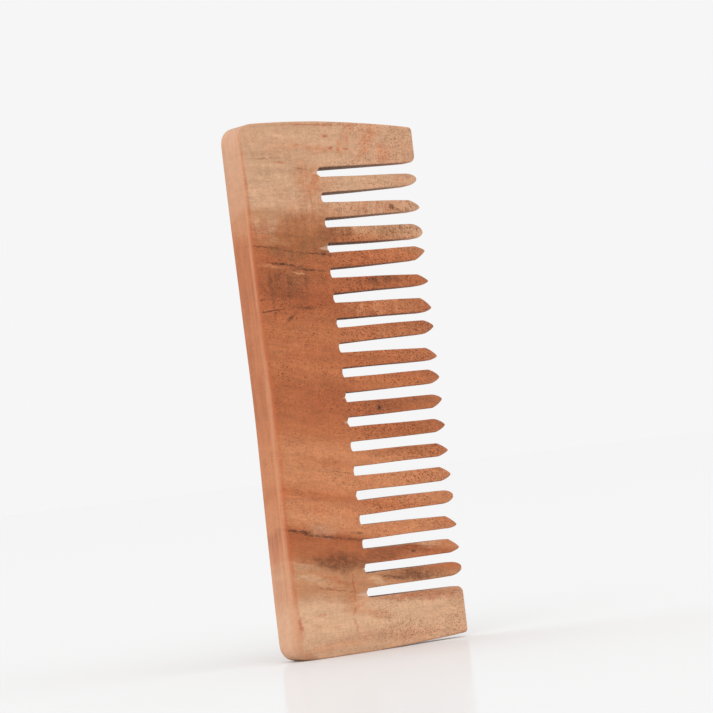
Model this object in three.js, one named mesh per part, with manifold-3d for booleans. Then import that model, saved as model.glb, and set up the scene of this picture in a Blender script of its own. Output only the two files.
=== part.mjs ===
// Wide tooth comb, sawn from one half-inch wooden board, in millimetres.
//
// The comb stands on its lower end. +Z runs up its length, +X from the spine to the tips of the teeth, and the
// front face looks along -Y. The origin is under the middle of the comb, on the surface that it stands on.
//
// The real comb is a single board: these solids meet face to face at the plane where the slots end, and nothing
// comes apart there. The spine, each tooth and each end guard is a plain convex solid, so that the narrow slots
// between them stay open.

import * as THREE from 'three';
import { mergeVertices } from 'three/addons/utils/BufferGeometryUtils.js';
import Module from 'manifold-3d';

// ---- driving dimensions ----

const LENGTH = 170;              // lower end to upper end
const WIDTH = 67.4;              // spine edge to tooth tips
const BOARD = 12.7;              // thickness of the spine: a half-inch board
const TIP_THICKNESS = 4.8;       // the board is planed down to this at the tips
const TAPER_START = 26;          // the planing starts this far from the spine edge
const TAPER_BOW = 1.2;           // and runs out into the flat faces in a gentle curve
const SPINE_WIDTH = 28.8;        // spine edge to the closed ends of the slots, where teeth and guards begin
const SPINE_ROUND = 2.4;         // rounding along the two long edges of the spine
const SPINE_CORNER = 5;          // corner radius of the spine, seen from the front

const TEETH = 17;
const SLOTS = TEETH + 1;
const SLOT_WIDTH = 3;            // saw kerf at the closed end of a slot
const FIRST_SLOT = 18.5;         // height of the lowest slot's middle
const LAST_SLOT = 153.2;         // height of the highest slot's middle
const SLOT_SAG = 0.9;            // the slots are marked out by eye: those halfway up sit this much low
const SLOT_DROP = 0.2;           // and every slot falls this much on its way to the tips

// Gap between neighbouring teeth at their shoulders, from the lowest slot up, opened out by hand sanding.
const SHOULDER_GAPS = [3.5, 3, 3.5, 4, 3, 3.5, 3.5, 3.5, 3.5, 3, 4.5, 2.5, 4, 4.5, 2.5, 4, 4.5, 3.5];

// How far each tip points up from its tooth's middle, or down where it is negative, from the lowest tooth up.
const TIP_DRIFTS = [0, -1, -1, 0, -0.5, -0.5, 0, 0.5, -0.5, -1, 0, -1, -0.5, 0.5, -0.5, -0.5, 0.2];

const SHOULDER = 62.5;           // where a tooth starts to narrow into its point, from the spine edge
const TIP_HALF_THICKNESS = 1.3;  // half the thickness that is left on the very tip
const BLUNT_TEETH = [1, 4, 15, 17];
// Half the width left on the very tip, and the two powers that bend the sides of the point outwards.
const POINT = { halfWidth: 0.45, bow: 1.35, nose: 0.8 };
const BLUNT = { halfWidth: 0.7, bow: 1.9, nose: 0.7 };
const TIP_STATIONS = [0.25, 0.5, 0.7, 0.85, 0.95, 1];
const BASE_CHAMFER = 0.3;        // corner chamfer of a tooth where it leaves the spine
const SHOULDER_CHAMFER = 1.1;    // the same chamfer at the shoulder

const BOTTOM_FLAT = 30;          // the lower end is square to the spine up to here, from the spine edge
const BOTTOM_RISE = 1.4;         // and from here to the tips it curves up by this much
const TOP_FLAT = 14;             // the upper end is square to the spine up to here
const TOP_FALL = 3.8;            // and from here to the tips it curves down by this much
const END_STATIONS = 8;
const BOTTOM_GUARD_WIDTH = 66.4; // spine edge to the free end of each end guard
const TOP_GUARD_WIDTH = 67.1;
const OUTER_CORNER = 1.2;        // corner radii of the end guards
const INNER_CORNER = 2.2;
const GUARD_END_CHAMFER = 0.8;

// ---- what follows from them ----

const HALF_BOARD = BOARD / 2;
const HALF_SLOT = SLOT_WIDTH / 2;
const ARC_STEPS = 5;
const TAPER_STATIONS = [TAPER_START, 27.5, 33, 39, 46, 54];

const wasm = await Module();
wasm.setup();

// Height of a slot's middle at its closed end, with the lowest slot as number 0.
function slotHeight(index) {
  const u = index / (SLOTS - 1);
  return THREE.MathUtils.lerp(FIRST_SLOT, LAST_SLOT, u) - SLOT_SAG * 4 * u * (1 - u);
}

// Heights of a slot's lower and upper edges where the teeth narrow into their points.
function slotMouth(index) {
  const middle = slotHeight(index) - SLOT_DROP;
  const half = SHOULDER_GAPS[index] / 2;
  return { lower: middle - half, upper: middle + half };
}

// Half the board's thickness at a distance from the spine edge: parallel faces, then the planed taper.
function halfThickness(x) {
  const u = Math.max(0, (x - TAPER_START) / (WIDTH - TAPER_START));
  return THREE.MathUtils.lerp(HALF_BOARD, TIP_THICKNESS / 2, u ** TAPER_BOW);
}

// Places between two distances from the spine edge where the taper needs a corner to look curved.
function taperStations(from, to) {
  return TAPER_STATIONS.filter((x) => x > from && x < to);
}

function topEnd(x) {
  const u = Math.max(0, (x - TOP_FLAT) / (WIDTH - TOP_FLAT));
  return LENGTH - TOP_FALL * u ** 1.7;
}

function bottomEnd(x) {
  const u = Math.max(0, (x - BOTTOM_FLAT) / (WIDTH - BOTTOM_FLAT));
  return BOTTOM_RISE * u ** 1.3;
}

// ---- solids ----

function toManifold(geometry) {
  const bare = geometry.clone();
  bare.deleteAttribute('normal');
  bare.deleteAttribute('uv');
  const merged = mergeVertices(bare, 1e-4);
  return new wasm.Manifold(new wasm.Mesh({
    numProp: 3,
    vertProperties: new Float32Array(merged.attributes.position.array),
    triVerts: new Uint32Array(merged.index.array),
  }));
}

function toGeometry(solid) {
  const mesh = solid.getMesh();
  const geometry = new THREE.BufferGeometry();
  geometry.setAttribute('position', new THREE.BufferAttribute(mesh.vertProperties, 3));
  geometry.setIndex(new THREE.BufferAttribute(mesh.triVerts, 1));
  geometry.computeVertexNormals();
  return geometry;
}

// A front outline, drawn in X and Z, as a slab that is thicker than the board.
function slabFromFront(shape) {
  const depth = BOARD + 2;
  const slab = new THREE.ExtrudeGeometry(shape, { depth, bevelEnabled: false, curveSegments: ARC_STEPS });
  slab.rotateX(Math.PI / 2);
  slab.translate(0, depth / 2, 0);
  return toManifold(slab);
}

// A section across the board, drawn in X and Y, as a bar that is longer than the comb.
function barFromSection(shape) {
  const depth = LENGTH + 2;
  const bar = new THREE.ExtrudeGeometry(shape, { depth, bevelEnabled: false, curveSegments: ARC_STEPS });
  bar.translate(0, 0, -1);
  return toManifold(bar);
}

// ---- spine ----

function spineOutline() {
  const outline = new THREE.Shape();
  outline.moveTo(SPINE_CORNER, 0);
  outline.lineTo(SPINE_WIDTH, 0);
  for (let step = 0; step < END_STATIONS; step += 1) {
    const x = THREE.MathUtils.lerp(SPINE_WIDTH, TOP_FLAT, step / END_STATIONS);
    outline.lineTo(x, topEnd(x));
  }
  outline.lineTo(SPINE_CORNER, LENGTH);
  outline.absarc(SPINE_CORNER, LENGTH - SPINE_CORNER, SPINE_CORNER, Math.PI / 2, Math.PI, false);
  outline.lineTo(0, SPINE_CORNER);
  outline.absarc(SPINE_CORNER, SPINE_CORNER, SPINE_CORNER, Math.PI, Math.PI * 1.5, false);
  return outline;
}

function spineSection() {
  const section = new THREE.Shape();
  const flat = HALF_BOARD - SPINE_ROUND;
  const stations = [...taperStations(0, SPINE_WIDTH), SPINE_WIDTH];
  section.moveTo(SPINE_WIDTH, -halfThickness(SPINE_WIDTH));
  for (const x of stations.toReversed()) {
    section.lineTo(x, halfThickness(x));
  }
  section.lineTo(SPINE_ROUND, HALF_BOARD);
  section.absarc(SPINE_ROUND, flat, SPINE_ROUND, Math.PI / 2, Math.PI, false);
  section.lineTo(0, -flat);
  section.absarc(SPINE_ROUND, -flat, SPINE_ROUND, Math.PI, Math.PI * 1.5, false);
  for (const x of taperStations(0, SPINE_WIDTH)) {
    section.lineTo(x, -halfThickness(x));
  }
  return section;
}

function spineGeometry() {
  const front = slabFromFront(spineOutline());
  const section = barFromSection(spineSection());
  return toGeometry(front.intersect(section));
}

// ---- end guards ----

function guardSection(width) {
  const section = new THREE.Shape();
  const end = halfThickness(width) - GUARD_END_CHAMFER;
  const stations = [SPINE_WIDTH, ...taperStations(SPINE_WIDTH, width), width - GUARD_END_CHAMFER];
  section.moveTo(width, -end);
  section.lineTo(width, end);
  for (const x of stations.toReversed()) {
    section.lineTo(x, halfThickness(x));
  }
  for (const x of stations) {
    section.lineTo(x, -halfThickness(x));
  }
  return section;
}

function bottomGuardOutline(width) {
  const outline = new THREE.Shape();
  const mouth = slotMouth(0).lower;
  const corner = width - OUTER_CORNER;
  outline.moveTo(SPINE_WIDTH, 0);
  for (let step = 0; step <= END_STATIONS; step += 1) {
    const x = THREE.MathUtils.lerp(BOTTOM_FLAT, corner, step / END_STATIONS);
    outline.lineTo(x, bottomEnd(x));
  }
  outline.absarc(corner, bottomEnd(corner) + OUTER_CORNER, OUTER_CORNER, -Math.PI / 2, 0, false);
  outline.lineTo(width, mouth - INNER_CORNER);
  outline.absarc(width - INNER_CORNER, mouth - INNER_CORNER, INNER_CORNER, 0, Math.PI / 2, false);
  outline.lineTo(SPINE_WIDTH, slotHeight(0) - HALF_SLOT);
  return outline;
}

function topGuardOutline(width) {
  const outline = new THREE.Shape();
  const last = SLOTS - 1;
  const mouth = slotMouth(last).upper;
  const corner = width - OUTER_CORNER;
  outline.moveTo(SPINE_WIDTH, slotHeight(last) + HALF_SLOT);
  outline.lineTo(width - INNER_CORNER, mouth);
  outline.absarc(width - INNER_CORNER, mouth + INNER_CORNER, INNER_CORNER, -Math.PI / 2, 0, false);
  outline.lineTo(width, topEnd(corner) - OUTER_CORNER);
  outline.absarc(corner, topEnd(corner) - OUTER_CORNER, OUTER_CORNER, 0, Math.PI / 2, false);
  for (let step = 0; step <= END_STATIONS; step += 1) {
    const x = THREE.MathUtils.lerp(corner, SPINE_WIDTH, step / END_STATIONS);
    outline.lineTo(x, topEnd(x));
  }
  return outline;
}

function guardGeometry(outline, width) {
  const front = slabFromFront(outline(width));
  const section = barFromSection(guardSection(width));
  return toGeometry(front.intersect(section));
}

// ---- teeth ----

// A section of a tooth across its length: a rectangle with chamfered corners, as eight points.
function toothRing(x, low, high, half, chamfer) {
  const cut = Math.min(chamfer, half * 0.7, (high - low) * 0.35);
  return [
    [x, -half, low + cut], [x, -half + cut, low], [x, half - cut, low], [x, half, low + cut],
    [x, half, high - cut], [x, half - cut, high], [x, -half + cut, high], [x, -half, high - cut],
  ];
}

function toothRings(number) {
  const base = { low: slotHeight(number - 1) + HALF_SLOT, high: slotHeight(number) - HALF_SLOT };
  const below = slotMouth(number - 1).upper;
  const above = slotMouth(number).lower;
  const middle = (below + above) / 2;
  const form = BLUNT_TEETH.includes(number) ? BLUNT : POINT;
  const rings = [];
  for (const x of [SPINE_WIDTH, ...taperStations(SPINE_WIDTH, SHOULDER), SHOULDER]) {
    const u = (x - SPINE_WIDTH) / (SHOULDER - SPINE_WIDTH);
    const low = THREE.MathUtils.lerp(base.low, below, u);
    const high = THREE.MathUtils.lerp(base.high, above, u);
    const chamfer = THREE.MathUtils.lerp(BASE_CHAMFER, SHOULDER_CHAMFER, u);
    rings.push(toothRing(x, low, high, halfThickness(x), chamfer));
  }
  for (const u of TIP_STATIONS) {
    const taper = (1 - u ** form.bow) ** form.nose;
    const width = THREE.MathUtils.lerp(form.halfWidth, (above - below) / 2, taper);
    const half = THREE.MathUtils.lerp(TIP_HALF_THICKNESS, halfThickness(SHOULDER), taper);
    const x = THREE.MathUtils.lerp(SHOULDER, WIDTH, u);
    const centre = middle + TIP_DRIFTS[number - 1] * u;
    rings.push(toothRing(x, centre - width, centre + width, half, SHOULDER_CHAMFER));
  }
  return rings;
}

// A closed skin over a row of rings with the same number of points.
function loft(rings) {
  const count = rings[0].length;
  const position = rings.flat(2);
  const index = [];
  for (let ring = 0; ring < rings.length - 1; ring += 1) {
    for (let point = 0; point < count; point += 1) {
      const a = ring * count + point;
      const b = ring * count + (point + 1) % count;
      index.push(a, b, a + count, b, b + count, a + count);
    }
  }
  const lastRing = (rings.length - 1) * count;
  for (let point = 1; point < count - 1; point += 1) {
    index.push(0, point + 1, point);
    index.push(lastRing, lastRing + point, lastRing + point + 1);
  }
  const geometry = new THREE.BufferGeometry();
  geometry.setAttribute('position', new THREE.Float32BufferAttribute(position, 3));
  geometry.setIndex(index);
  geometry.computeVertexNormals();
  return geometry;
}

// ---- the comb ----

// The board is pale at both ends and red-brown between them.
const PALE = new THREE.Color('#c9996f');
const RED_BROWN = new THREE.Color('#b0704a');

function wood(height) {
  const fromMiddle = Math.abs(2 * height / LENGTH - 1);
  const color = RED_BROWN.clone().lerp(PALE, fromMiddle ** 3);
  return new THREE.MeshStandardMaterial({ color, roughness: 0.6, metalness: 0 });
}

function piece(name, geometry, height) {
  const mesh = new THREE.Mesh(geometry, wood(height));
  mesh.name = name;
  return mesh;
}

const comb = new THREE.Group();
comb.position.x = -WIDTH / 2;
comb.add(piece('spine', spineGeometry(), LENGTH / 2));
comb.add(piece('guard_bottom', guardGeometry(bottomGuardOutline, BOTTOM_GUARD_WIDTH), 0));
for (let number = 1; number <= TEETH; number += 1) {
  const name = `tooth_${String(number).padStart(2, '0')}`;
  comb.add(piece(name, loft(toothRings(number)), slotHeight(number)));
}
comb.add(piece('guard_top', guardGeometry(topGuardOutline, TOP_GUARD_WIDTH), LENGTH));

export default comb;
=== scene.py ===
"""Wide tooth comb: the looks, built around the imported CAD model.

The comb is one wooden board. Its pieces here are the CAD model's nodes, one for one: the spine, the end
guards and the teeth. They are cut from one continuous surface, so their skins, their shading and their grain
run on across the plane where they meet. Shapes are worked out in millimetres in the model's own frame and
stored in metres.
"""

import math

import bpy
import numpy as np
from mathutils import Matrix, Vector
from mathutils.geometry import convex_hull_2d, delaunay_2d_cdt


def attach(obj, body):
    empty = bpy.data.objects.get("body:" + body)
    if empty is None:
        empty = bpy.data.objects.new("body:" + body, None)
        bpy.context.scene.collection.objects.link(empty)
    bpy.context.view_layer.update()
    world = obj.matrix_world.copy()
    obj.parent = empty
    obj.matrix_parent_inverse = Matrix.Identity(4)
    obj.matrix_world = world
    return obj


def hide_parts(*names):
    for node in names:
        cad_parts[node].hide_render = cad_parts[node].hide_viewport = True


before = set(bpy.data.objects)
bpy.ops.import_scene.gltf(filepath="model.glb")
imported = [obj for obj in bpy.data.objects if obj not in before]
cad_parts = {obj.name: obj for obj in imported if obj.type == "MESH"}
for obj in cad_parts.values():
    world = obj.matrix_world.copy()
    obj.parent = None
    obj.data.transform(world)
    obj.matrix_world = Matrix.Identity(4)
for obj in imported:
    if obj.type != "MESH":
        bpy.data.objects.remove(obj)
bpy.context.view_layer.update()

MM = 0.001
RNG = np.random.RandomState(17)
SAME_X = 0.3                     # points of a CAD node this close together along x belong to one section
ON_SPLIT = 0.02                  # and this close to the split plane they lie on it


# ---------------------------------------------------------------- what the CAD model says

def cad_points(node):
    """The corners of a CAD node, in millimetres."""
    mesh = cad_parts[node].data
    flat = np.empty(len(mesh.vertices) * 3)
    mesh.vertices.foreach_get("co", flat)
    return flat.reshape(-1, 3) / MM


def height_range(points, x):
    """Lowest and highest point of a CAD node near x."""
    there = points[np.abs(points[:, 0] - x) < SAME_X]
    return float(there[:, 2].min()), float(there[:, 2].max())


SPINE = cad_points("spine")
X_EDGE, X_SPLIT = float(SPINE[:, 0].min()), float(SPINE[:, 0].max())
HALF_BOARD = float(SPINE[:, 1].max())
LENGTH = float(SPINE[:, 2].max())
TEETH = sorted(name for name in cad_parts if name.startswith("tooth_"))
ROW = ["guard_bottom", *TEETH, "guard_top"]
POINTS = {name: cad_points(name) for name in ROW}
X_TIP = float(POINTS[TEETH[0]][:, 0].max())
BASES = {name: height_range(POINTS[name], X_SPLIT) for name in ROW}
SLOTS = [(BASES[low][1], BASES[high][0]) for low, high in zip(ROW, ROW[1:])]

# ---------------------------------------------------------------- driving dimensions, in millimetres

TAPER_START = X_EDGE + 26        # the board is planed thinner from here to the tips, as in the CAD model
TAPER_BOW = 1.2
TIP_HALF_THICKNESS = 2.4         # left at the very end of the guards
WAVE = 0.07                      # how far the hand-sanded faces dip below flat
EDGE_DIP = (0.6, 80, 32)         # the spine edge is sanded hollow: depth, height of the deepest place, reach
DIP_WIDTH = 12                   # the hollow fades out this far from the spine edge

TIP_LENGTH = 4.9                 # the stretch over which a tooth narrows to its point
NOSE_THICKNESS = 1.0             # half the thickness left at the point, and the gap in front of it
NOSE_GAP = 0.02
# A point: half the width left on it, and the ranges of the two powers that bend its sides outwards.
SHARP_POINT = (0.35, (1.25, 1.5), (0.74, 0.86))
BLUNT_POINT = (0.6, (1.75, 2.05), (0.66, 0.74))
BLUNT = ("tooth_01", "tooth_04", "tooth_15", "tooth_17")
SWAY = (0.05, 5.3)               # a tooth wanders sideways by hand: how far, and over what length

SLOT_ARRIS = 0.3                 # softened edges along the slots
TIP_ARRIS = (0.5, 0.85)          # the same where a tooth starts to narrow: across, and into the thickness
POINT_ARRIS = 1.7                # into the thickness at the point itself
END_ARRIS = 0.55                 # along the two ends of the board
GUARD_ARRIS = (0.8, 0.9)         # round the free end of a guard
CORNER_REACH = (3.5, 9.0)        # how far from the spine edge its broad arris fades into the thin ones
SPLIT_FADE = 4                   # arrises match those of the slots within this much of the split plane
TIP_FADE = 7                     # and grow over this stretch before a shoulder or a guard's free end

# The broad arris down the spine changes with height: (height, across) and (height, into the thickness).
FRONT_ACROSS = ((0, 2.9), (20, 2.6), (45, 1.9), (67, 2.5), (82, 1.9), (96, 1.4), (120, 1.3), (150, 1.5),
                (166, 0.8))
FRONT_DEEP = ((0, 2.6), (40, 2.6), (100, 2.5), (130, 2.0), (150, 1.4), (170, 1.1))
BACK_BOTH = ((0, 2.4), (120, 2.3), (150, 1.7), (170, 1.5))
FRONT_POWER = 1.6                # 1 is a flat chamfer, 2 a round one
BAND_START, BAND_END = (3, 9), (160, 167)   # heights where the red line and the painted highlight along it fade in and out

SLOT_DEPTH = 0.6                 # how far a slot's rounded end runs into the spine
DEEPER_SLOTS = {16: 0.3, 17: 0.6}

# Saw run-outs: shallow V cuts in the front face behind a slot, as slot: (length, half width, depth).
RUN_OUTS = {0: (5.2, 1.2, 0.75), 1: (1.8, 0.6, 0.3), 7: (2.2, 0.85, 0.4), 8: (1.5, 0.65, 0.3),
            14: (4.4, 1.1, 0.6), 17: (3.0, 1.0, 0.6), 4: (1.0, 0.5, 0.2), 11: (1.1, 0.6, 0.2)}
RUN_OUT_MARGIN = 0.4             # the fine net of the face reaches this far round a run-out
FRESH_GAIN = 6                   # a run-out a sixth of a millimetre deep shows fresh wood

ARRIS_STEPS = 6                  # faces round an arris, and across a tooth between its two arrises
LAND_STEPS = 4
SLOT_END_STEPS = 16
SHANK_STEPS = 41                 # rings along a tooth, and places of the rings on its point, from 0 to 1
POINT_PLACES = (0.06, 0.14, 0.24, 0.35, 0.46, 0.57, 0.67, 0.76, 0.84, 0.9, 0.95, 0.985)
OUTLINE_STEP = 0.7               # steps of the outlines, of the net inside a face, and of the fine net
FACE_STEP = 1.5
FINE_STEP = 0.3
NET_CLEARANCE = 0.55             # the net keeps this share of a step away from the outline
KEYS_PER_MM = 500                # corners that agree to a five-hundredth of a millimetre share a normal

# Each slot's end is a little different: how deep, how square and how slanted it is.
SLOT_JITTER = RNG.uniform(-0.15, 0.15, len(SLOTS))
SLOT_SQUARE = RNG.uniform(1.6, 2.2, len(SLOTS))
SLOT_SLANT = RNG.uniform(-0.22, 0.22, len(SLOTS))


# ---------------------------------------------------------------- small helpers

def mix(a, b, u):
    return a + (b - a) * u


def blend(value, low, high):
    u = min(1.0, max(0.0, (value - low) / (high - low)))
    return u * u * (3 - 2 * u)


def follow(pairs, at):
    """A value read off a line of (place, value) pairs."""
    return float(np.interp(at, *zip(*pairs)))


# ---------------------------------------------------------------- the board's surface

def slot_depth(slot):
    return SLOT_DEPTH + DEEPER_SLOTS.get(slot, 0) + SLOT_JITTER[slot]


def half_thickness(x):
    u = np.clip((x - TAPER_START) / (X_TIP - TAPER_START), 0, 1)
    return HALF_BOARD + (TIP_HALF_THICKNESS - HALF_BOARD) * u ** TAPER_BOW


def wave(x, z, side):
    """Dips of a hand-sanded face, from 0 to 1."""
    shift = 1.7 * side
    slow = np.sin(x / 9.1 + shift) * np.cos(z / 13.7 - shift) + 0.6 * np.sin(z / 6.3 + x / 17.0 + 2 * shift)
    return 0.5 + slow / 3.2


def run_out(x, z):
    """Depth of the saw run-outs at places on the front face."""
    depth = np.zeros_like(x)
    for slot, (length, half_width, deep) in RUN_OUTS.items():
        middle = sum(SLOTS[slot]) / 2
        along = (x - (X_SPLIT - slot_depth(slot) - length)) / length
        across = np.abs(z - middle) / half_width
        depth = np.maximum(depth, deep * np.clip(np.minimum(along, 1.15) - across, 0, None))
    return depth


def fresh_wood(x, z):
    """How freshly cut the front face looks, from 0 to 1."""
    return np.minimum(1, run_out(x, z) * FRESH_GAIN)


def face(x, z, side):
    """How far the face is from the middle of the board: side is -1 at the front and 1 at the back."""
    x, z = np.asarray(x, float), np.asarray(z, float)
    depth = half_thickness(x) - WAVE * wave(x, z, side)
    return depth - run_out(x, z) if side < 0 else depth


def edge_dip(z):
    deep, middle, reach = EDGE_DIP
    return deep * math.exp(-((z - middle) / reach) ** 2)


# ---------------------------------------------------------------- building a skin

class Skin:
    """Vertices, faces and per-vertex marks of one piece, before it becomes a mesh."""

    # The last mark is a painted highlight along the spine's broad arris.
    MARKS = ("rim", "sawn", "fresh", "red_line", "pale_line")

    def __init__(self):
        self.points, self.faces, self.caps = [], [], []
        self.marks = {mark: [] for mark in self.MARKS}

    def add(self, x, y, z, **marks):
        self.points.append((float(x), float(y), float(z)))
        for mark in self.MARKS:
            self.marks[mark].append(float(marks.get(mark, 0)))
        return len(self.points) - 1

    def face_outwards(self):
        points = np.array(self.points)
        total = 0.0
        for corners in self.faces + self.caps:
            ring = points[corners]
            total += np.sum(np.cross(ring[1:-1], ring[2:]) @ ring[0])
        if total < 0:
            self.faces = [corners[::-1] for corners in self.faces]
            self.caps = [corners[::-1] for corners in self.caps]


def arris(size, power):
    """A rounded edge as (inset, drop) pairs, from the side wall round to the face."""
    turn = np.linspace(0, math.pi / 2, ARRIS_STEPS + 1)
    inset = size[0] * (1 - np.cos(turn) ** (2 / power))
    drop = size[1] * (1 - np.sin(turn) ** (2 / power))
    inset[-1], drop[-1] = size[0], 0
    return inset, drop


def worn(spot, u):
    """Marks on an arris, u of the way round it from the side wall to the face."""
    return {"rim": spot["rim"] * math.sin(math.pi * u), "sawn": spot["sawn"] * (1 - u)}


def column(skin, spot, inward, depth=None):
    """A cut through the edge of the board: front face, arris, wall, arris, back face.

    spot has x and z on the side wall and the sizes of its two arrises. depth overrides the thickness.
    """
    depth = depth or {-1: lambda x, z: face(x, z, -1), 1: lambda x, z: face(x, z, 1)}
    rows = {}
    for side, size, power in ((-1, spot["front"], spot["power"]), (1, spot["back"], 2.0)):
        inset, drop = arris(size, power)
        px, pz = spot["x"] + inward[0] * inset, spot["z"] + inward[1] * inset
        py = side * (depth[side](px, pz) - drop)
        rows[side] = list(zip(px, py, pz))
    fresh = fresh_wood(*np.array([(p[0], p[2]) for p in rows[-1]]).T)
    band = spot["band"]
    ids = []
    for j in range(ARRIS_STEPS, -1, -1):
        u = j / ARRIS_STEPS
        # Along the spine's broad arris: a red line near the face, and a painted highlight nearer the side
        # wall.
        ids.append(skin.add(*rows[-1][j], fresh=fresh[j], **worn(spot, u),
                            red_line=band * blend(u, 0.45, 0.8) * (1 - blend(u, 0.85, 1.0)),
                            pale_line=band * blend(u, 0.05, 0.35) * (1 - blend(u, 0.4, 0.7))))
    wall = [(a + b) / 2 for a, b in zip(rows[-1][0], rows[1][0])]
    ids.append(skin.add(*wall, sawn=spot["sawn"]))
    for j in range(ARRIS_STEPS + 1):
        ids.append(skin.add(*rows[1][j], **worn(spot, j / ARRIS_STEPS)))
    return ids


def station(x, z, front=(SLOT_ARRIS,) * 2, back=None, power=2.0, rim=0.3, sawn=0.0, band=0.0, cut=None):
    """A place on an outline. band is how much it belongs to the spine's broad arris, and cut says whether it
    is the "corner" of a cut on the split plane or an "inner" place on one."""
    return {"x": float(x), "z": float(z), "front": front, "back": back or front, "power": power, "rim": rim,
            "sawn": sawn, "band": band, "cut": cut}


def land_heights(low, high):
    """Heights of the points across a cut, between its two arrises."""
    return np.linspace(low + SLOT_ARRIS, high - SLOT_ARRIS, LAND_STEPS + 1)


# ---------------------------------------------------------------- plates: the spine and the guards

def inside(polygon, x, z):
    """Which of the places (x, z) lie inside a polygon."""
    hits = np.zeros(len(x), bool)
    for (ax, az), (bx, bz) in zip(polygon, np.roll(polygon, -1, axis=0)):
        if az == bz:
            continue
        hits ^= ((az > z) != (bz > z)) & (x < ax + (z - az) * (bx - ax) / (bz - az))
    return hits


def face_places(polygon, fine_spots):
    """Places inside a face outline: an even net, and a fine one round each saw run-out."""
    low, high = polygon.min(axis=0), polygon.max(axis=0)
    chosen = []
    for first, last, step in [(low, high, FACE_STEP)] + [(a, b, FINE_STEP) for a, b in fine_spots]:
        gx, gz = np.meshgrid(*(np.arange(a + step / 2, b, step) for a, b in zip(first, last)))
        gx = gx + (np.arange(gx.shape[0]) % 2)[:, None] * step / 2
        net = np.c_[gx.ravel(), gz.ravel()]
        net = net[inside(polygon, *net.T)]
        clear = np.min(np.hypot(*(net[:, None] - polygon[None]).transpose(2, 0, 1)), axis=1)
        clear = clear > step * NET_CLEARANCE
        chosen.append(net[clear])
    for a, b in fine_spots:
        above, below = chosen[0] > np.array(a) - FINE_STEP, chosen[0] < np.array(b) + FINE_STEP
        chosen[0] = chosen[0][~(above & below).all(axis=1)]
    return np.concatenate(chosen)


def plate(contour, fine_spots=()):
    """A closed piece of board from the stations round its outline, anticlockwise as seen from the front."""
    skin = Skin()
    count = len(contour)
    places = np.array([(spot["x"], spot["z"]) for spot in contour])
    columns = []
    for i, spot in enumerate(contour):
        before, after = contour[i - 1], contour[(i + 1) % count]
        if spot["cut"] == "inner":
            x, z = np.array([spot["x"]]), np.array([spot["z"]])
            fresh = fresh_wood(x, z)[0]
            columns.append([skin.add(x[0], -face(x, z, -1)[0], z[0], fresh=fresh),
                            skin.add(x[0], face(x, z, 1)[0], z[0])])
            continue
        if spot["cut"]:
            other = after if after["cut"] else before
            inward = np.array([0.0, math.copysign(1.0, other["z"] - spot["z"])])
        else:
            along = places[(i + 1) % count] - places[i - 1]
            inward = np.array([-along[1], along[0]]) / np.linalg.norm(along)
        columns.append(column(skin, spot, inward))
    for i in range(count):
        j = (i + 1) % count
        if contour[i]["cut"] and contour[j]["cut"]:
            continue
        for k in range(len(columns[i]) - 1):
            skin.faces.append([columns[j][k], columns[i][k], columns[i][k + 1], columns[j][k + 1]])
    close_cuts(skin, contour, columns)
    fill_faces(skin, columns, fine_spots)
    skin.face_outwards()
    return skin


def close_cuts(skin, contour, columns):
    """Closes each cut with one flat face."""
    count = len(contour)
    for start in range(count):
        end = (start + 1) % count
        if contour[start]["cut"] != "corner" or not contour[end]["cut"]:
            continue
        between = []
        while contour[end]["cut"] == "inner":
            between.append(end)
            end = (end + 1) % count
        back = [columns[k][1] for k in between]
        front = [columns[k][0] for k in reversed(between)]
        skin.caps.append([*columns[start], *back, *columns[end][::-1], *front])


def fill_faces(skin, columns, fine_spots):
    """Fills the front and back faces with triangles."""
    rims = [ids[0] for ids in columns], [ids[-1] for ids in columns]
    polygon = np.array([(skin.points[k][0], skin.points[k][2]) for k in rims[0]])
    back_polygon = np.array([(skin.points[k][0], skin.points[k][2]) for k in rims[1]])
    for side, rim, edge in ((-1, rims[0], polygon), (1, rims[1], back_polygon)):
        extra = face_places(edge, fine_spots if side < 0 else ())
        coords = [Vector(place) for place in np.concatenate([edge, extra])]
        found = delaunay_2d_cdt(coords, [], [list(range(len(edge)))], 1, 1e-7)
        places = np.array([tuple(v) for v in found[0]])
        depth = face(places[:, 0], places[:, 1], side)
        fresh = fresh_wood(places[:, 0], places[:, 1]) if side < 0 else np.zeros(len(places))
        ids = [rim[source[0]] if source and source[0] < len(edge) else skin.add(x, side * y, z, fresh=f)
               for (x, z), y, f, source in zip(places, depth, fresh, found[3])]
        for corners in found[2]:
            triangle = [ids[k] for k in corners]
            skin.faces.append(triangle if side < 0 else triangle[::-1])


def hull(points):
    """The outline of a convex CAD node seen from the front, anticlockwise."""
    flat = [Vector((p[0], p[2])) for p in points]
    loop = np.array([flat[k] for k in convex_hull_2d(flat)])
    x, z = loop.T
    return loop if np.sum(x * np.roll(z, -1) - np.roll(x, -1) * z) > 0 else loop[::-1]


def run_between_corners(points):
    """The outline of a CAD node from one corner on the split plane round to the other."""
    loop = hull(points)
    on_split = np.abs(loop[:, 0] - X_SPLIT) < ON_SPLIT
    count = len(loop)
    start = next(k for k in range(count) if on_split[k] and not on_split[(k + 1) % count])
    return np.roll(loop, -start, axis=0)


def even(run, step, smoothing):
    """The run with even steps and its small corners smoothed. Its two ends stay where they are."""
    along = np.concatenate([[0], np.cumsum(np.hypot(*np.diff(run, axis=0).T))])
    spots = np.linspace(0, along[-1], max(8, int(round(along[-1] / step))) + 1)
    out = np.c_[np.interp(spots, along, run[:, 0]), np.interp(spots, along, run[:, 1])]
    for _ in range(smoothing):
        out[1:-1] = 0.25 * out[:-2] + 0.5 * out[1:-1] + 0.25 * out[2:]
    return out


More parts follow.
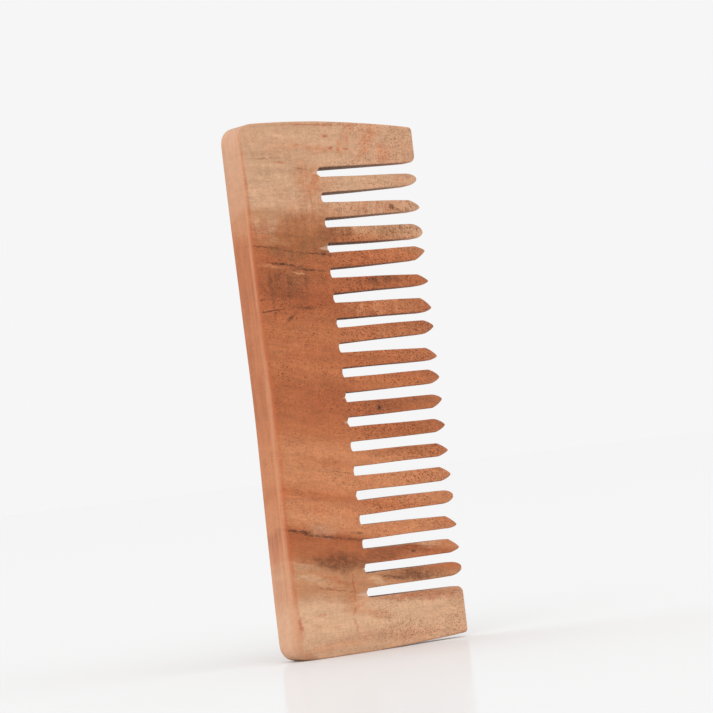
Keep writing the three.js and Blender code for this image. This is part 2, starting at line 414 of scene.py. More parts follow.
def slot_end(slot):
    """The closed end of a slot: a rounded arch, each one a little different."""
    low, high = SLOTS[slot]
    middle, half = (low + high) / 2, (high - low) / 2
    power, slant, depth = SLOT_SQUARE[slot], SLOT_SLANT[slot], slot_depth(slot)
    run = []
    for turn in np.linspace(0, math.pi, SLOT_END_STEPS + 1)[1:-1]:
        across = -math.copysign(abs(math.cos(turn)) ** (2 / power), math.cos(turn))
        deep = abs(math.sin(turn)) ** (2 / power)
        run.append(station(X_SPLIT - depth * deep * (1 + slant * across), middle + half * across, sawn=1.0))
    return run


def land(low, high):
    """The inner places of the cut across the root of a tooth or a guard."""
    return [station(X_SPLIT, z, cut="inner") for z in land_heights(low, high)[1:-1]]


def spine_arris(x, z):
    """Front and back arris at a place on the spine's outline, and how much it belongs to the broad edge."""
    edge = 1 - blend(x - X_EDGE, *CORNER_REACH)
    uneven = 1 + 0.06 * math.sin(z / 11.0) + 0.04 * math.sin(z / 4.3 + 1)
    near_split = 1 - blend(X_SPLIT - x, 0, SPLIT_FADE)
    sizes = []
    front = follow(FRONT_ACROSS, z) * uneven, follow(FRONT_DEEP, z) * uneven
    for wide in (front, (follow(BACK_BOTH, z),) * 2):
        sizes.append(tuple(mix(mix(END_ARRIS, w, edge), SLOT_ARRIS, near_split) for w in wide))
    return sizes[0], sizes[1], edge


def spine_contour():
    """The spine's outline: round its outer edge, then up the split plane, in and out of every slot."""
    run = even(run_between_corners(SPINE), OUTLINE_STEP, 4)
    contour = []
    for k, (x, z) in enumerate(run):
        front, back, edge = spine_arris(x, z)
        hollow = edge_dip(z) * max(0, 1 - (x - X_EDGE) / DIP_WIDTH)
        band = edge * blend(z, *BAND_START) * (1 - blend(z, *BAND_END))
        contour.append(station(x + hollow, z, front, back, mix(2.0, FRONT_POWER, edge),
                               rim=mix(0.8, 1.0, edge), band=band,
                               cut="corner" if k in (0, len(run) - 1) else None))
    floors = [run[-1][1]] + [high for _, high in SLOTS]
    ceilings = [low for low, _ in SLOTS] + [run[0][1]]
    for slot, (low, high) in enumerate(zip(floors, ceilings)):
        contour += land(low, high)
        if slot < len(SLOTS):
            contour.append(station(X_SPLIT, SLOTS[slot][0], sawn=1.0, cut="corner"))
            contour += slot_end(slot)
            contour.append(station(X_SPLIT, SLOTS[slot][1], sawn=1.0, cut="corner"))
    return contour


def guard_contour(name):
    """A guard's outline: round its free end, then across the split plane."""
    run = even(run_between_corners(POINTS[name]), OUTLINE_STEP / 2, 2)
    free_end = POINTS[name][:, 0].max()
    slot_side = SLOTS[0][0] if name == "guard_bottom" else SLOTS[-1][1]
    middle = (POINTS[name][:, 2].min() + POINTS[name][:, 2].max()) / 2
    contour = []
    for k, (x, z) in enumerate(run):
        by_slot = (z - middle) * (slot_side - middle) > 0
        size = mix(SLOT_ARRIS, SLOT_ARRIS if by_slot else END_ARRIS, blend(x - X_SPLIT, 0, SPLIT_FADE))
        u = blend(x, free_end - TIP_FADE, free_end - 1)
        contour.append(station(x, z, (mix(size, GUARD_ARRIS[0], u), mix(size, GUARD_ARRIS[1], u)),
                               rim=0.3 if by_slot else 0.8, sawn=(1 - u) * by_slot,
                               cut="corner" if k in (0, len(run) - 1) else None))
    ends = run[-1][1], run[0][1]
    cut = land(min(ends), max(ends))
    return contour + (cut if ends[0] < ends[1] else cut[::-1])


# ---------------------------------------------------------------- teeth

def tooth_ring(skin, x, low, high, size, sawn, thin=1.0):
    """A rounded section of a tooth. thin squeezes its thickness towards the nose."""
    depth = {side: lambda px, pz, side=side: mix(NOSE_THICKNESS, face(px, pz, side), thin)
             for side in (-1, 1)}
    spots = [station(x, z, size, rim=0.35, sawn=sawn) for z in (low, high)]
    bottom = column(skin, spots[0], (0, 1), depth)
    top = column(skin, spots[1], (0, -1), depth)
    heights = np.linspace(low + size[0], high - size[0], LAND_STEPS + 1)[1:-1]
    across = np.full_like(heights, x)
    front = [skin.add(x, -y, z) for y, z in zip(depth[-1](across, heights), heights)]
    back = [skin.add(x, y, z) for y, z in zip(depth[1](across, heights), heights)]
    return bottom[::-1] + front + top + back[::-1]


def tooth_skin(name):
    """One tooth: a shank that follows the CAD tooth's two sides, and a rounded point."""
    skin = Skin()
    shoulder = X_TIP - TIP_LENGTH
    nose_width, bows, noses = BLUNT_POINT if name in BLUNT else SHARP_POINT
    bow = RNG.uniform(*bows)
    nose = RNG.uniform(*noses)
    sway, reach = SWAY
    phase = RNG.uniform(0, 6)
    points = POINTS[name]
    nearest = points[np.argmin(np.abs(points[:, 0] - shoulder)), 0]
    base, mouth = BASES[name], height_range(points, nearest)
    drift = (sum(height_range(points, X_TIP)) - sum(mouth)) / 2 + RNG.uniform(-0.15, 0.15)
    rings = []
    for x in np.linspace(X_SPLIT, shoulder, SHANK_STEPS + 1):
        u = (x - X_SPLIT) / (shoulder - X_SPLIT)
        aside = sway * math.sin(x / reach + phase) * blend(u, 0, 0.2)
        soft = blend(x, shoulder - TIP_FADE, shoulder)
        size = (mix(SLOT_ARRIS, TIP_ARRIS[0], soft), mix(SLOT_ARRIS, TIP_ARRIS[1], soft))
        low, high = (mix(start, end, u) + aside for start, end in zip(base, mouth))
        rings.append(tooth_ring(skin, x, low, high, size, 1 - soft))
    middle = sum(mouth) / 2 + sway * math.sin(shoulder / reach + phase)
    width = (mouth[1] - mouth[0]) / 2
    for u in POINT_PLACES:
        thin = (1 - u ** bow) ** nose
        half = mix(nose_width, width, thin)
        centre = middle + drift * u
        size = (min(TIP_ARRIS[0], half * 0.8),
                min(mix(TIP_ARRIS[1], POINT_ARRIS, u), mix(NOSE_THICKNESS, TIP_HALF_THICKNESS, thin) * 0.75))
        rings.append(tooth_ring(skin, shoulder + TIP_LENGTH * u, centre - half, centre + half, size, 0, thin))
    for first, second in zip(rings, rings[1:]):
        for k in range(len(first)):
            n = (k + 1) % len(first)
            skin.faces.append([first[k], first[n], second[n], second[k]])
    skin.caps.append(rings[0][::-1])
    point = skin.add(X_TIP - NOSE_GAP, 0.0, middle + drift)
    last = rings[-1]
    for k in range(len(last)):
        skin.faces.append([last[k], last[(k + 1) % len(last)], point])
    skin.face_outwards()
    return skin


# ---------------------------------------------------------------- meshes with shared normals

def place_keys(points):
    """Whole numbers that are equal for points at one place."""
    return np.round(np.asarray(points) * KEYS_PER_MM).astype(np.int64)


def shared_normals(skins):
    """Smooth normals over the whole comb, so that the shading runs on across the cuts."""
    points = np.concatenate([np.array(skin.points) for skin in skins.values()])
    _, index = np.unique(place_keys(points), axis=0, return_inverse=True)
    index = index.ravel()
    sums = np.zeros((index.max() + 1, 3))
    offset = 0
    for skin in skins.values():
        for size in (3, 4):
            corners = np.array([c for c in skin.faces if len(c) == size], int).reshape(-1, size)
            ring = np.array(skin.points)[corners]
            normal = np.cross(ring, np.roll(ring, -1, axis=1)).sum(axis=1)
            for k in range(size):
                np.add.at(sums, index[corners[:, k] + offset], normal)
        offset += len(skin.points)
    sums /= np.maximum(np.linalg.norm(sums, axis=1), 1e-12)[:, None]
    return sums[index]


def make_piece(name, skin, normals, material):
    """One visual piece, which stands in for the CAD node of that name."""
    mesh = bpy.data.meshes.new(name)
    faces = skin.faces + skin.caps
    mesh.from_pydata([tuple(c * MM for c in p) for p in skin.points], [], faces)
    for mark, values in skin.marks.items():
        mesh.attributes.new(mark, "FLOAT", "POINT").data.foreach_set("value", values)
    mesh.materials.append(material)
    corner_normals = [tuple(normals[k]) for corners in skin.faces for k in corners]
    towards = 1.0 if name == "spine" else -1.0
    corner_normals += [(towards, 0.0, 0.0)] * sum(len(corners) for corners in skin.caps)
    mesh.polygons.foreach_set("use_smooth", [True] * len(faces))
    mesh.normals_split_custom_set(corner_normals)
    mesh.update()
    piece = bpy.data.objects.new("wood_" + name, mesh)
    bpy.context.collection.objects.link(piece)
    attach(piece, "root")
    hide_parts(name)


# ---------------------------------------------------------------- wood

def tone(red, green, blue):
    """A colour given as it looks on a screen, from 0 to 255."""
    return tuple(((c / 255 + 0.055) / 1.055) ** 2.4 for c in (red, green, blue)) + (1,)


CREAM = tone(211, 167, 132)
SAND = tone(200, 156, 123)
TAN = tone(188, 131, 92)
HONEY = tone(196, 127, 85)
CLAY = tone(183, 109, 67)
RUSSET = tone(173, 98, 58)
BRICK = tone(163, 88, 50)

# The board's colour up its length, where the growth rings come to the surface: (height, shade).
RINGS = (
    (0, SAND), (6, CREAM), (14, CREAM), (19, TAN), (26, TAN), (30, CLAY), (34, RUSSET), (37, BRICK),
    (39, HONEY), (46, HONEY), (50, CLAY), (54, HONEY), (64, HONEY), (69, CLAY), (75, RUSSET), (84, RUSSET),
    (90, CLAY), (95, RUSSET), (101, CLAY), (107, RUSSET), (113, BRICK), (118, RUSSET), (124, RUSSET),
    (130, RUSSET), (134, CLAY), (138, TAN), (142, SAND), (149, SAND), (158, SAND), (170, SAND),
)

# Soft patches in the wood, later ones over earlier ones: distance from the spine edge, height, half length,
# half height, tilt in degrees, colour and strength.
OLIVE, SMOKE, SOOT = tone(140, 92, 56), tone(126, 72, 42), tone(98, 54, 30)
FLAME = tone(200, 122, 80)
PATCHES = (
    (19, 134, 14, 8, -6, OLIVE, 0.6), (23, 132, 9, 5, -10, OLIVE, 0.45),
    (27, 140, 8, 8, 0, tone(178, 110, 68), 0.4), (22.5, 151, 5.5, 6.5, 0, CLAY, 0.4),
    (22, 16, 4.5, 3.5, 0, CLAY, 0.5), (14, 40, 5, 2.4, -10, SAND, 0.4), (14, 121, 5, 4.5, 0, HONEY, 0.3),
    (48, 109, 17, 3.6, 0, HONEY, 0.75), (48, 101, 17, 3, 0, HONEY, 0.45), (47, 141, 15, 3, 0, CLAY, 0.4),
    (46, 28.6, 15, 1.6, -3, HONEY, 0.4), (5, 137.5, 10, 3.6, 0, SAND, 0.5),
    (6, 132.5, 8, 1.6, -6, TAN, 0.5), (13, 128, 9, 2, -10, OLIVE, 0.5),
    (11.5, 119.5, 9, 7.5, 0, SMOKE, 0.45), (10.5, 119.5, 2.6, 7.5, 0, SOOT, 0.4),
    (6, 118.5, 1.4, 6.5, 0, SOOT, 0.35), (17, 117.5, 3, 5.5, 0, SMOKE, 0.35),
    (22, 119, 6, 3, -12, SMOKE, 0.3), (14, 110.5, 9, 1.6, 0, SMOKE, 0.4),
    (18, 30.5, 15, 4.4, -10, SMOKE, 0.6), (20, 29, 10, 2.4, -8, SOOT, 0.45),
    (9, 35, 10, 2.6, -8, RUSSET, 0.5), (8, 25, 9, 1.6, -18, CREAM, 0.55),
    (6, 29.5, 7, 1.2, -16, CREAM, 0.35), (17, 24, 8, 0.9, -16, RUSSET, 0.45),
    (36, 4.5, 18, 2.6, -2, RUSSET, 0.22), (44, 8.5, 16, 2.2, -5, CREAM, 0.7),
    (14, 3.5, 10, 1.8, 3, HONEY, 0.35), (12, 17, 11, 1.0, -12, CREAM, 0.5),
    (30, 12, 8, 1.3, -10, HONEY, 0.45), (47, 22.6, 13, 2.6, -3, SMOKE, 0.6), (46, 22, 8, 1.4, 0, SOOT, 0.5),
    (33, 22, 3.4, 1.2, -12, CREAM, 0.6), (42, 31, 14, 2.6, -4, SMOKE, 0.4),
    (55, 32.5, 5, 1.4, -8, CREAM, 0.45), (47, 162.5, 7, 4, 58, FLAME, 0.6),
    (39.5, 164, 6, 1.6, 62, FLAME, 0.5), (54, 158.5, 4, 3, 60, FLAME, 0.45),
    (43.5, 161, 6, 0.9, 64, CREAM, 0.6), (20, 165.5, 13, 1.2, -3, CREAM, 0.5),
    (28, 160.5, 14, 1, -6, HONEY, 0.4), (52, 15.4, 15, 2.0, -5, BRICK, 0.6),
    (40, 16, 10, 1.4, -3, RUSSET, 0.4), (48, 117.8, 9, 2.0, 0, SOOT, 0.55),
    (34, 118, 5, 1.6, 0, SMOKE, 0.3), (41, 134, 2.4, 1.8, 0, CREAM, 0.6),
    (47, 133.5, 1.2, 2.2, 0, CREAM, 0.4), (54, 134, 9, 3, 0, OLIVE, 0.6), (33, 134, 6, 3, 0, SMOKE, 0.6),
    (36, 127, 6, 2, 0, SMOKE, 0.35), (45, 126, 16, 3, 0, FLAME, 0.4), (20, 61, 12, 1.6, -12, RUSSET, 0.4),
    (13, 51, 14, 1.3, -14, RUSSET, 0.4), (14, 43.8, 14, 1.5, -13, tone(208, 142, 100), 0.6),
    (14, 150.5, 9, 2.6, 0, CREAM, 0.35), (4, 148, 5, 2.4, 0, CREAM, 0.5), (27, 151, 7, 4.5, 0, HONEY, 0.45),
    (18, 137.5, 9, 3, 8, RUSSET, 0.35), (24, 82, 9, 7, 0, BRICK, 0.35), (12, 98, 12, 2.4, -6, HONEY, 0.35),
    (16, 66, 14, 2.2, -10, HONEY, 0.35), (50, 78, 14, 3, 0, SMOKE, 0.5), (35, 29.6, 8, 2.2, 0, SMOKE, 0.5),
    (46, 62.5, 12, 2, 0, SMOKE, 0.3), (20, 105, 10, 4.5, 0, CLAY, 0.35), (9, 160, 10, 1.6, -3, OLIVE, 0.2),
    (62, 85, 8, 90, 0, tone(172, 108, 70), 0.3),
)

# Thin dark lines, cracks and scribed lines, in the same terms. The two pale lines along the cracks near 122
# to 125 mm are painted highlights on their lips.
INK, RED = tone(72, 40, 22), tone(178, 78, 40)
LINES = (
    (6, 130.6, 7, 0.3, -8, SOOT, 0.8), (15, 128.6, 7, 0.24, -10, SOOT, 0.6),
    (23, 127.4, 6, 0.24, -6, SOOT, 0.6), (11.5, 124.7, 6, 0.36, -11, INK, 0.95),
    (20.5, 122.4, 6.5, 0.3, -9, INK, 0.9), (16.4, 123.2, 2.2, 0.3, 18, INK, 0.7),
    # Two painted highlights along the lower lips of the cracks above.
    (16.6, 121.6, 3, 0.4, -12, tone(208, 150, 106), 0.6),
    (6.5, 124.6, 4, 0.5, -10, tone(206, 146, 102), 0.45), (5, 110.5, 4.6, 0.26, 3, INK, 0.8),
    (11.8, 107.8, 2.8, 0.5, 36, INK, 0.65), (17.5, 110.6, 3.8, 0.6, -4, SOOT, 0.65),
    (6, 40.4, 6, 0.6, -15, INK, 0.9), (14, 38.2, 6, 0.5, -10, INK, 0.8), (24, 36.2, 8, 0.5, -9, SOOT, 0.75),
    (27, 37.8, 2.4, 0.34, -12, INK, 0.8), (23.2, 22, 5.6, 0.2, 92, RED, 0.85),
    (17, 20.8, 7.5, 0.24, -12, SOOT, 0.5), (22.6, 13.5, 1.4, 0.6, 60, RED, 0.6),
    (22, 10.4, 1.3, 0.5, -60, RED, 0.55), (22.8, 8, 1.4, 0.5, 70, RED, 0.5),
    (10, 13.6, 2.6, 0.4, 0, RED, 0.4), (40.5, 76.6, 1.05, 0.8, 0, tone(50, 36, 34), 0.9),
    (55, 140.6, 1.5, 0.9, -25, SOOT, 0.8), (57.5, 139.6, 2.6, 0.35, -20, SOOT, 0.6),
    (40, 128, 16, 0.5, 1, INK, 0.6), (47, 30.2, 2.2, 0.4, -20, INK, 0.8), (51, 31, 7, 0.3, -8, INK, 0.6),
    (38, 22.6, 6, 0.3, -14, INK, 0.6), (26, 127, 5, 0.4, -6, INK, 0.75), (9, 158.6, 7, 0.2, -2, SOOT, 0.4),
    (14, 157, 3, 0.35, -8, RED, 0.45), (24, 154, 8, 0.24, -14, SOOT, 0.35),
    (29, 168.4, 17, 0.4, -3, RUSSET, 0.7), (2.6, 11, 0.7, 3.4, 6, RED, 0.6),
    (31.7, 164.7, 1.3, 0.4, -12, RED, 0.8), (33.4, 160.9, 1.0, 0.5, 0, RED, 0.8),
    (36.4, 160.2, 0.6, 0.5, 0, RED, 0.7), (39.2, 160.1, 1.1, 0.4, -15, RED, 0.8),
    (60, 74.2, 2.4, 0.3, -8, INK, 0.5), (26, 57, 7, 0.2, -12, SOOT, 0.5),
)


# Where the wood changes: the height half-way between its pale ends, how far from there it turns pale, and how
# far from the spine edge it turns into the rougher wood of the teeth.
RED_MIDDLE = LENGTH / 2 + 8
INTO_ENDS = (45, 66)
INTO_TEETH = (24, 38)

# Colours of the spine edge at half height and at its ends, the red line along its arris and the painted
# highlight beside it, worn rims, fresh cuts, and the painted shade on slot walls that face down and the
# painted light on those that face up.
EDGE_RED, EDGE_PALE = tone(214, 138, 94), tone(234, 176, 142)
PAINTED_HIGHLIGHT, RED_LINE = tone(224, 172, 138), tone(188, 94, 54)
RIM, FRESH = tone(190, 106, 66), tone(222, 182, 156)
PAINTED_SHADE_DOWN, PAINTED_LIGHT_UP = tone(118, 84, 64), tone(214, 184, 164)


class Nodes:
    """Short names for building a node tree."""

    def __init__(self, tree):
        self.tree = tree

    def make(self, kind, sockets=(), **settings):
        node = self.tree.nodes.new("ShaderNode" + kind)
        for name, value in settings.items():
            setattr(node, name, value)
        for key, value in dict(sockets).items():
            self.put(node.inputs[key], value)
        return node

    def put(self, socket, value):
        if isinstance(value, bpy.types.NodeSocket):
            self.tree.links.new(value, socket)
        else:
            socket.default_value = value

    def math(self, operation, *values):
        return self.make("Math", enumerate(values), operation=operation).outputs[0]

    def vector(self, operation, *values):
        node = self.make("VectorMath", operation=operation)
        for k, value in enumerate(values):
            self.put(node.inputs["Scale"] if operation == "SCALE" and k else node.inputs[k], value)
        return node.outputs["Value" if operation == "LENGTH" else "Vector"]

    def join(self, x, y, z):
        return self.make("CombineXYZ", enumerate((x, y, z))).outputs[0]

    def split(self, vector):
        return self.make("SeparateXYZ", {0: vector}).outputs

    def between(self, value, low, high, to=(0.0, 1.0)):
        """A smooth step from to[0] at low to to[1] at high."""
        node = self.make("MapRange", {"Value": value, "From Min": low, "From Max": high, "To Min": to[0],
                                      "To Max": to[1]}, interpolation_type="SMOOTHSTEP", clamp=False)
        return node.outputs[0]

    def noise(self, vector, detail=2.0, roughness=0.5, distortion=0.0, colour=False):
        node = self.make("TexNoise", {"Vector": vector, "Scale": 1.0, "Detail": detail,
                                      "Roughness": roughness, "Distortion": distortion})
        return node.outputs["Color" if colour else "Fac"]

    def mix(self, amount, a, b, mode="MIX"):
        node = self.make("Mix", data_type="RGBA", blend_type=mode)
        self.put(node.inputs["Factor"], amount)
        for name, value in (("A", a), ("B", b)):
            self.put(next(s for s in node.inputs if s.name == name and s.type == "RGBA"), value)
        return next(s for s in node.outputs if s.type == "RGBA")

    def ramp(self, value, stops):
        node = self.make("ValToRGB", {0: value})
        elements = node.color_ramp.elements
        while len(elements) < len(stops):
            elements.new(0.5)
        for element, (place, colour) in zip(elements, stops):
            element.position = place
        for element, (place, colour) in zip(elements, stops):
            element.color = colour
        return node.outputs["Color"]

    def attribute(self, name):
        return self.make("Attribute", attribute_name=name).outputs["Fac"]


def ellipse(n, vector, x, z, long_half, high_half, tilt, soft):
    """1 inside an ellipse on the face and 0 outside, with a soft edge."""
    level = n.make("VectorRotate", {"Vector": vector, "Center": (x, 0, z), "Angle": math.radians(tilt)},
                   rotation_type="Y_AXIS").outputs[0]
    local = n.vector("MULTIPLY_ADD", level, (1 / long_half, 0, 1 / high_half),
                     (-x / long_half, 0, -z / high_half))
    return n.between(n.vector("LENGTH", local), 1 - soft, 1 + soft * 0.6, (1.0, 0.0))


def wood_material():
    material = bpy.data.materials.new("comb_wood")
    material.use_nodes = True
    n = Nodes(material.node_tree)
    bsdf = material.node_tree.nodes["Principled BSDF"]

    coordinates = n.make("TexCoord")
    place = n.vector("SCALE", coordinates.outputs["Object"], 1 / MM)
    x, y, z = n.split(n.vector("SUBTRACT", place, (X_EDGE, 0, 0)))
    nx, _, nz = n.split(coordinates.outputs["Normal"])
    flat = n.join(x, 0.0, z)

    # The rings slope down to the right through the middle of the board and lie level at its ends.
    slope = n.math("MULTIPLY", n.between(z, 10, 32), n.between(z, 132, 150, (0.22, 0.0)))
    drop = n.math("MULTIPLY", slope, n.math("SUBTRACT", x, 14.0))
    bend = n.noise(n.vector("MULTIPLY", place, (0.05, 0.08, 0.11)), detail=3.0)
    bend = n.math("MULTIPLY_ADD", bend, 5.0, -2.5)
    tilt = n.math("MULTIPLY", y, 0.3)
    rise = n.math("ADD", n.math("ADD", z, drop), n.math("ADD", bend, tilt))
    along = n.join(x, y, rise)

    colour = n.ramp(n.math("DIVIDE", rise, LENGTH), [(height / LENGTH, shade) for height, shade in RINGS])

    # Patches and lines.
    loose = n.noise(n.vector("MULTIPLY", place, (0.16, 0.16, 0.22)), detail=3.0, colour=True)
    loose = n.vector("MULTIPLY", n.vector("SUBTRACT", loose, (0.5, 0.5, 0.5)), (9, 0, 5))
    soft_place = n.vector("ADD", flat, loose)
    depth = n.between(y, 0, HALF_BOARD, (1.0, 0.35))
    mottle = n.noise(n.vector("MULTIPLY", along, (0.6, 1.2, 1.2)), detail=5.0, roughness=0.65)
    mottle = n.between(mottle, 0.32, 0.64, (0.45, 1.25))
    streaks = n.noise(n.vector("MULTIPLY", place, (0.55, 0.5, 0.07)), detail=3.0)
    streaks = n.between(streaks, 0.36, 0.6, (-0.4, 0.2))
    streaks = n.math("MULTIPLY_ADD", streaks, n.between(z, 60, 105, (0.2, 1.2)), 1.0)
    show = n.math("MULTIPLY", depth, n.math("MULTIPLY", mottle, streaks))
    for px, pz, long_half, high_half, angle, shade, strength in PATCHES:
        mask = ellipse(n, soft_place, px, pz, long_half, high_half, angle, 0.6)
        colour = n.mix(n.math("MULTIPLY", n.math("MULTIPLY", mask, strength), show), colour, shade)

    # Growth bands, fibres, cross-sanding and grit. The grit is finer in the pale wood at both ends and
    # coarser in the teeth.
    from_middle = n.math("ABSOLUTE", n.math("SUBTRACT", z, RED_MIDDLE))
    bands = n.noise(n.vector("MULTIPLY", along, (0.03, 0.15, 0.5)), detail=3.0, roughness=0.6)
    fibres = n.noise(n.vector("MULTIPLY", along, (0.3, 2.0, 2.2)), detail=4.0, roughness=0.65, distortion=0.4)
    sanding = n.vector("MULTIPLY", place, (1.7, 1.9, 0.16))
    sanding = n.noise(sanding, detail=3.0, roughness=0.6, distortion=0.5)
    grit = n.noise(n.vector("MULTIPLY", place, (1.0, 1.5, 1.7)), detail=5.0, roughness=0.75)
    coarse = n.between(from_middle, *INTO_ENDS, (1.0, 0.45))
    coarse = n.math("MULTIPLY", coarse, n.between(x, *INTO_TEETH, (1.0, 1.5)))
    grit = n.math("MULTIPLY_ADD", n.math("SUBTRACT", grit, 0.5), coarse, 0.5)
    clouds = n.vector("MULTIPLY", place, (0.32, 0.4, 0.5))
    clouds = n.noise(clouds, detail=4.0, roughness=0.65, distortion=0.3)
    value = n.between(x, *INTO_TEETH, (1.0, 1.03))
    for texture, contrast in ((bands, 0.36), (fibres, 0.42), (sanding, 0.3), (clouds, 0.5), (grit, 0.8)):
        value = n.math("MULTIPLY", value, n.math("MULTIPLY_ADD", texture, contrast, 1 - contrast / 2))
    colour = n.mix(1.0, colour, n.join(value, value, value), "MULTIPLY")

    # Drifts of redder and of more olive wood.
    drift = n.noise(n.vector("MULTIPLY", place, (0.09, 0.15, 0.12)), detail=3.0)
    for end, share, tint in ((0.75, 0.3, (1.08, 0.86, 0.76, 1)), (0.28, 0.35, (0.96, 1.02, 0.98, 1))):
        amount = n.between(drift, 0.5, end, (0.0, share))
        colour = n.mix(amount, colour, n.mix(1.0, colour, tint, "MULTIPLY"))

    # Pores: short dark dashes along the grain and dots on the end grain, thickest in the teeth. Each kind
    # has its cells per millimetre, the reach of a dash in its cell, and the share of cells left empty.
    pores = 0.0
    fewer = n.between(x, 24, 36, (0.0, -0.3))
    closer = n.between(x, *INTO_TEETH, (1.0, 0.93))
    for size, reach, empty in (((0.4, 0.9, 1.0), 0.22, 0.35), ((0.8, 1.4, 1.5), 0.28, 0.35),
                               ((1.4, 2.0, 2.2), 0.36, 0.4)):
        cells = n.vector("MULTIPLY", along, size)
        cells = n.make("TexVoronoi", {"Vector": cells, "Scale": 1.0, "Randomness": 1.0})
        dash = n.between(n.math("MULTIPLY", cells.outputs["Distance"], closer), reach, reach * 0.45)
        chosen = n.math("GREATER_THAN", n.split(cells.outputs["Color"])[0], n.math("ADD", fewer, empty))
        pores = n.math("MAXIMUM", pores, n.math("MULTIPLY", dash, chosen))
    crowd = n.noise(n.vector("MULTIPLY", along, (0.05, 0.1, 0.14)), detail=2.0)
    crowd = n.between(crowd, 0.34, 0.58, (0.25, 1.0))
    middle = n.math("MULTIPLY", n.between(z, 32, 58, (0.45, 1.0)), n.between(z, 118, 142, (1.0, 0.4)))
    middle = n.math("MULTIPLY", middle, n.between(x, *INTO_TEETH, (1.0, 1.9)))
    pores = n.math("MINIMUM", n.math("MULTIPLY", pores, n.math("MULTIPLY", crowd, middle)), 1.0)
    pore_share = n.math("MULTIPLY", pores, 0.8)
    colour = n.mix(pore_share, colour, n.mix(1.0, colour, (0.42, 0.3, 0.24, 1), "MULTIPLY"))

    tight = n.noise(n.vector("MULTIPLY", place, (0.5, 0.5, 0.7)), detail=4.0, colour=True)
    tight = n.vector("MULTIPLY", n.vector("SUBTRACT", tight, (0.5, 0.5, 0.5)), (2, 0, 1.7))
    line_place = n.vector("ADD", flat, tight)
    front = n.between(y, -3, 2, (1.0, 0.0))
    broken = n.noise(n.vector("MULTIPLY", place, (0.9, 0.9, 1.6)), detail=3.0)
    broken = n.between(broken, 0.36, 0.56, (0.3, 1.0))
    show = n.math("MULTIPLY", front, broken)
    cracks = 0.0
    for px, pz, long_half, high_half, angle, shade, strength in LINES:
        mask = ellipse(n, line_place, px, pz, long_half, high_half, angle, 0.75)
        mask = n.math("MULTIPLY", n.math("MULTIPLY", mask, strength), show)
        colour = n.mix(mask, colour, shade)
        cracks = n.math("MAXIMUM", cracks, mask)

    # The spine edge, its arris with its red line and painted highlight, worn rims, fresh cuts, and painted
    # shade and painted light on the slot walls.
    edge = n.between(n.math("MULTIPLY", nx, -1.0), 0.45, 0.9)
    run = n.noise(n.vector("MULTIPLY", place, (0.2, 0.7, 0.05)), detail=4.0, roughness=0.6)
    skin_tone = n.mix(n.between(from_middle, 38, 74), EDGE_RED, EDGE_PALE)
    colour = n.mix(n.math("MULTIPLY", edge, n.between(run, 0.3, 0.7, (0.25, 0.6))), colour, skin_tone)
    # A painted highlight along the spine's arris, broken up along its length.
    pale = n.math("MULTIPLY", n.attribute("pale_line"), n.between(run, 0.35, 0.6, (0.2, 0.5)))
    colour = n.mix(pale, colour, PAINTED_HIGHLIGHT)
    red = n.noise(n.join(0.0, 0.0, n.math("MULTIPLY", z, 0.11)), detail=4.0)
    red = n.between(red, 0.38, 0.58, (0.15, 0.62))
    red = n.math("ADD", red, n.between(from_middle, 62, 84, (0.0, 0.2)))
    line = n.math("MULTIPLY", n.attribute("red_line"), n.between(z, 16, 46, (0.5, 1.0)))
    red = n.math("MULTIPLY", line, red)
    colour = n.mix(red, colour, RED_LINE)
    rim = n.math("MULTIPLY", n.attribute("rim"), n.between(fibres, 0.35, 0.65, (0.1, 0.35)))
    colour = n.mix(rim, colour, RIM)
    colour = n.mix(n.math("MULTIPLY", n.attribute("fresh"), 0.55), colour, FRESH)
    sawn = n.attribute("sawn")
    # Painted shade on the slot walls that face down, and painted light on those that face up.
    colour = n.mix(n.math("MULTIPLY", sawn, n.between(nz, -0.9, 0.6, (0.7, 0.0))), colour, PAINTED_SHADE_DOWN)
    colour = n.mix(n.math("MULTIPLY", sawn, n.between(nz, 0.2, 0.9, (0.0, 0.4))), colour, PAINTED_LIGHT_UP)
    n.put(bsdf.inputs["Base Color"], colour)

    shine = n.math("MULTIPLY_ADD", fibres, 0.16, 0.44)
    shine = n.math("ADD", shine, n.math("MULTIPLY", pores, 0.2))
    shine = n.math("ADD", shine, n.math("MULTIPLY", sawn, 0.15))
    n.put(bsdf.inputs["Roughness"], shine)
    bsdf.inputs["Specular IOR Level"].default_value = 0.25

    height = n.math("MULTIPLY", fibres, 0.5)
    height = n.math("MULTIPLY_ADD", sanding, 0.3, height)
    height = n.math("MULTIPLY_ADD", pores, -0.9, height)
    height = n.math("MULTIPLY_ADD", cracks, -0.8, height)
    bump = n.make("Bump", {"Strength": 0.5, "Distance": 0.12 * MM, "Height": height})
    n.put(bsdf.inputs["Normal"], bump.outputs[0])
    return material


# ---------------------------------------------------------------- the comb

wood = wood_material()
run_out_boxes = []
for slot, (length, half_width, _) in RUN_OUTS.items():
    middle, end = sum(SLOTS[slot]) / 2, X_SPLIT - slot_depth(slot)
    reach = half_width + RUN_OUT_MARGIN
    run_out_boxes.append(((end - length - RUN_OUT_MARGIN, middle - reach), (end, middle + reach)))
skins = {"spine": plate(spine_contour(), run_out_boxes)}
for name in ("guard_bottom", "guard_top"):
    skins[name] = plate(guard_contour(name))
for name in TEETH:
    skins[name] = tooth_skin(name)
normals = shared_normals(skins)
start = 0
for name, skin in skins.items():
    make_piece(name, skin, normals[start:start + len(skin.points)], wood)
    start += len(skin.points)


# ---------------------------------------------------------------- stage, light and camera

PAPER = 0.922                    # brightness of the backdrop, and of the floor under these lights
# The two soft suns: direction that each one stands in, strength, and size in degrees.
SUNS = {"key": ((-0.55, -0.75, 0.6), 0.45, 50), "top": ((0.1, -0.2, 1.0), 0.6, 70)}
MIRROR = 0.16                    # share of the floor's brightness that is a reflection
FLOOR_HALF = 6.0                 # metres


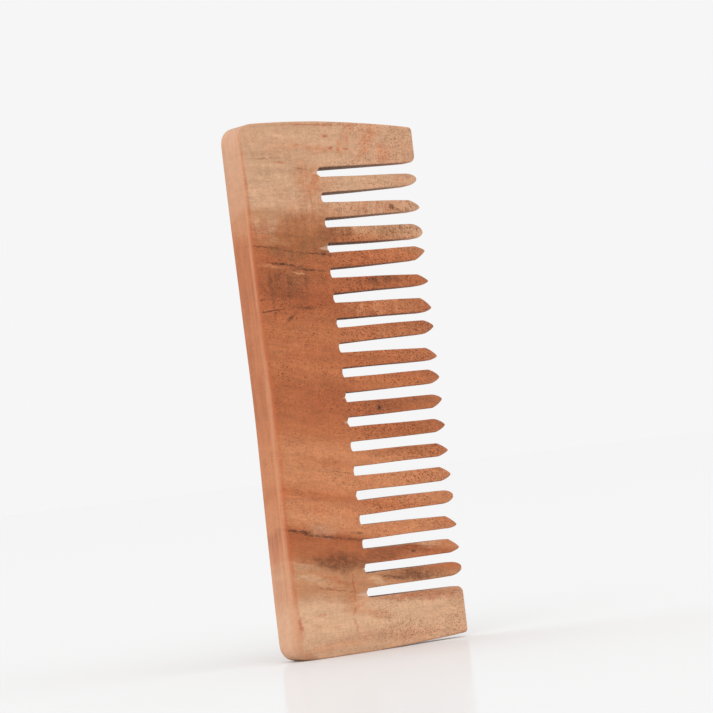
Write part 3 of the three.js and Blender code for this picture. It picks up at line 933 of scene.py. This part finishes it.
def stage():
    mesh = bpy.data.meshes.new("floor")
    corners = [(x * FLOOR_HALF, y * FLOOR_HALF, 0) for x, y in ((-1, -1), (1, -1), (1, 1), (-1, 1))]
    mesh.from_pydata(corners, [], [(0, 1, 2, 3)])
    floor = bpy.data.objects.new("floor", mesh)
    bpy.context.collection.objects.link(floor)
    material = bpy.data.materials.new("pale_floor")
    material.use_nodes = True
    tree = material.node_tree
    tree.nodes.remove(tree.nodes["Principled BSDF"])
    n = Nodes(tree)
    light = PAPER + sum(strength / math.pi * Vector(way).normalized().z for way, strength, _ in SUNS.values())
    paint = (PAPER / light,) * 3 + (1,)
    matt = n.make("BsdfDiffuse", {"Color": paint}).outputs[0]
    gloss = n.make("BsdfAnisotropic", {"Color": (1, 1, 1, 1), "Roughness": 0.12}).outputs[0]
    both = n.make("MixShader", {0: MIRROR, 1: matt, 2: gloss}).outputs[0]
    n.put(tree.nodes["Material Output"].inputs["Surface"], both)
    mesh.materials.append(material)


def lights():
    world = bpy.data.worlds.new("studio")
    world.use_nodes = True
    world.node_tree.nodes["Background"].inputs["Color"].default_value = (PAPER, PAPER, PAPER, 1)
    bpy.context.scene.world = world
    for name, (way, strength, softness) in SUNS.items():
        light = bpy.data.lights.new(name, "SUN")
        light.energy = strength
        light.angle = math.radians(softness)
        lamp = bpy.data.objects.new(name, light)
        lamp.location = Vector(way)
        lamp.rotation_euler = (-Vector(way)).to_track_quat("-Z", "Y").to_euler()
        bpy.context.collection.objects.link(lamp)


# Angles in degrees, lens in millimetres, the rest in metres. aim is the place (x, z) that it looks at.
CAMERA = {"azimuth": 31.0, "rise": 1.5, "roll": -6.6, "distance": 1.088, "lens": 171.2,
          "aim": (0.0040, 0.0938)}


def camera():
    """Looks from the spine side, slightly upwards from low down, with the view rolled a little."""
    turn, rise, roll = (math.radians(CAMERA[key]) for key in ("azimuth", "rise", "roll"))
    forward = Vector((math.sin(turn) * math.cos(rise), math.cos(turn) * math.cos(rise), math.sin(rise)))
    level = Vector((math.cos(turn), -math.sin(turn), 0))
    upright = level.cross(forward)
    right = level * math.cos(roll) + upright * math.sin(roll)
    up = upright * math.cos(roll) - level * math.sin(roll)
    aim = Vector((CAMERA["aim"][0], 0, CAMERA["aim"][1]))
    data = bpy.data.cameras.new("camera")
    data.lens = CAMERA["lens"]
    data.sensor_width = 36
    data.clip_start = 0.01
    view = bpy.data.objects.new("camera", data)
    axes = Matrix((right, up, -forward)).transposed().to_4x4()
    view.matrix_world = Matrix.Translation(aim - forward * CAMERA["distance"]) @ axes
    bpy.context.collection.objects.link(view)
    bpy.context.scene.camera = view


stage()
lights()
camera()
bpy.context.scene.view_settings.view_transform = "Standard"
